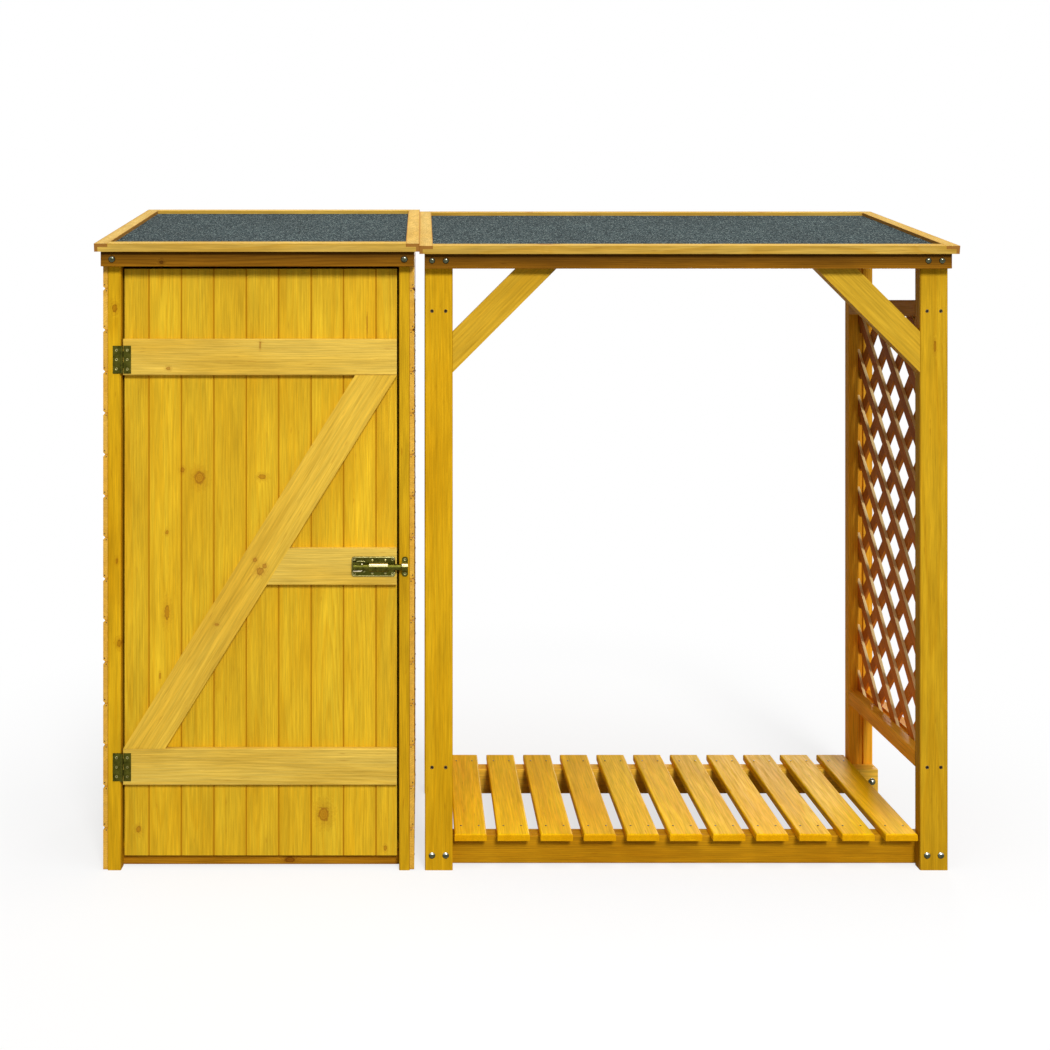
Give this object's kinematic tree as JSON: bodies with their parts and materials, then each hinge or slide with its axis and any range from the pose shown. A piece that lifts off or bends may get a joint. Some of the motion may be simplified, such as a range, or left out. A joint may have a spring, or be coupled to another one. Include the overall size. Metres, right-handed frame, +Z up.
{
  "type": "log store with tool cupboard",
  "caption": "Timber garden log store with a slatted floor and lattice ends, under a felted pent roof beside a tool cupboard with a ledged and braced door.",
  "frame": {"origin": "on the ground, below the middle of the roofs", "axes": "+X along the front to the right as the door is faced, +Y from front to back, +Z up"},
  "size_m": [2.31, 0.72, 1.8295],
  "materials": {
    "posts": "planed, oiled",
    "beams": "planed, oiled, in shade",
    "braces": "planed, oiled",
    "slats": "planed, rounded edges",
    "lattice": "planed, oiled",
    "cladding": "planed, oiled",
    "door_boards": "planed, oiled",
    "door_ledges": "planed, pale",
    "roof_deck": "sawn",
    "roof_trim": "planed, oiled",
    "roof_felt": "mineral-faced bitumen felt",
    "hardware": "yellow passivated zinc"
  },
  "bodies": {
    "frame": {"floor_slats": "slats", "front_floor_rail": "posts", "hinge_frame_leaves": "hardware", "latch_keeper": "hardware", "left_knee_brace": "braces", "left_lattice": "lattice", "left_lattice_rails": "lattice", "rear_floor_rail": "posts", "right_knee_brace": "braces", "right_lattice": "lattice", "right_lattice_rails": "lattice", "shed_back_wall": "cladding", "shed_floor": "slats", "shed_front_beam": "beams", "shed_front_left_post": "posts", "shed_front_right_post": "posts", "shed_front_sill": "posts", "shed_left_wall": "cladding", "shed_rear_left_post": "posts", "shed_rear_right_post": "posts", "shed_rear_sill": "posts", "shed_right_wall": "cladding", "shed_roof_deck": "roof_deck", "shed_roof_edge_trims": "roof_trim", "shed_roof_felt": "roof_felt", "shed_roof_side_trims": "roof_trim", "store_front_beam": "beams", "store_front_left_post": "posts", "store_front_right_post": "posts", "store_rear_beam": "beams", "store_rear_left_post": "posts", "store_rear_right_post": "posts", "store_roof_deck": "roof_deck", "store_roof_edge_trims": "roof_trim", "store_roof_felt": "roof_felt", "store_roof_side_trims": "roof_trim"},
    "door": {"door_panel": "door_boards", "door_top_ledge": "door_ledges", "door_lock_ledge": "door_ledges", "door_bottom_ledge": "door_ledges", "door_brace": "door_ledges", "hinge_door_leaves": "hardware", "latch_plate": "hardware"},
    "latch_bolt": {"latch_bolt": "hardware"}
  },
  "joints": [
    {"name": "door_swing", "type": "hinge", "parent": "frame", "child": "door", "pos_m": [-1.09, -0.3185, 0.8], "axis": [0, 0, -1], "range_deg": [0, 170]},
    {"name": "bolt_slide", "type": "slide", "parent": "door", "child": "latch_bolt", "axis": [1, 0, 0], "range_m": [0, 0.014]}
  ]
}
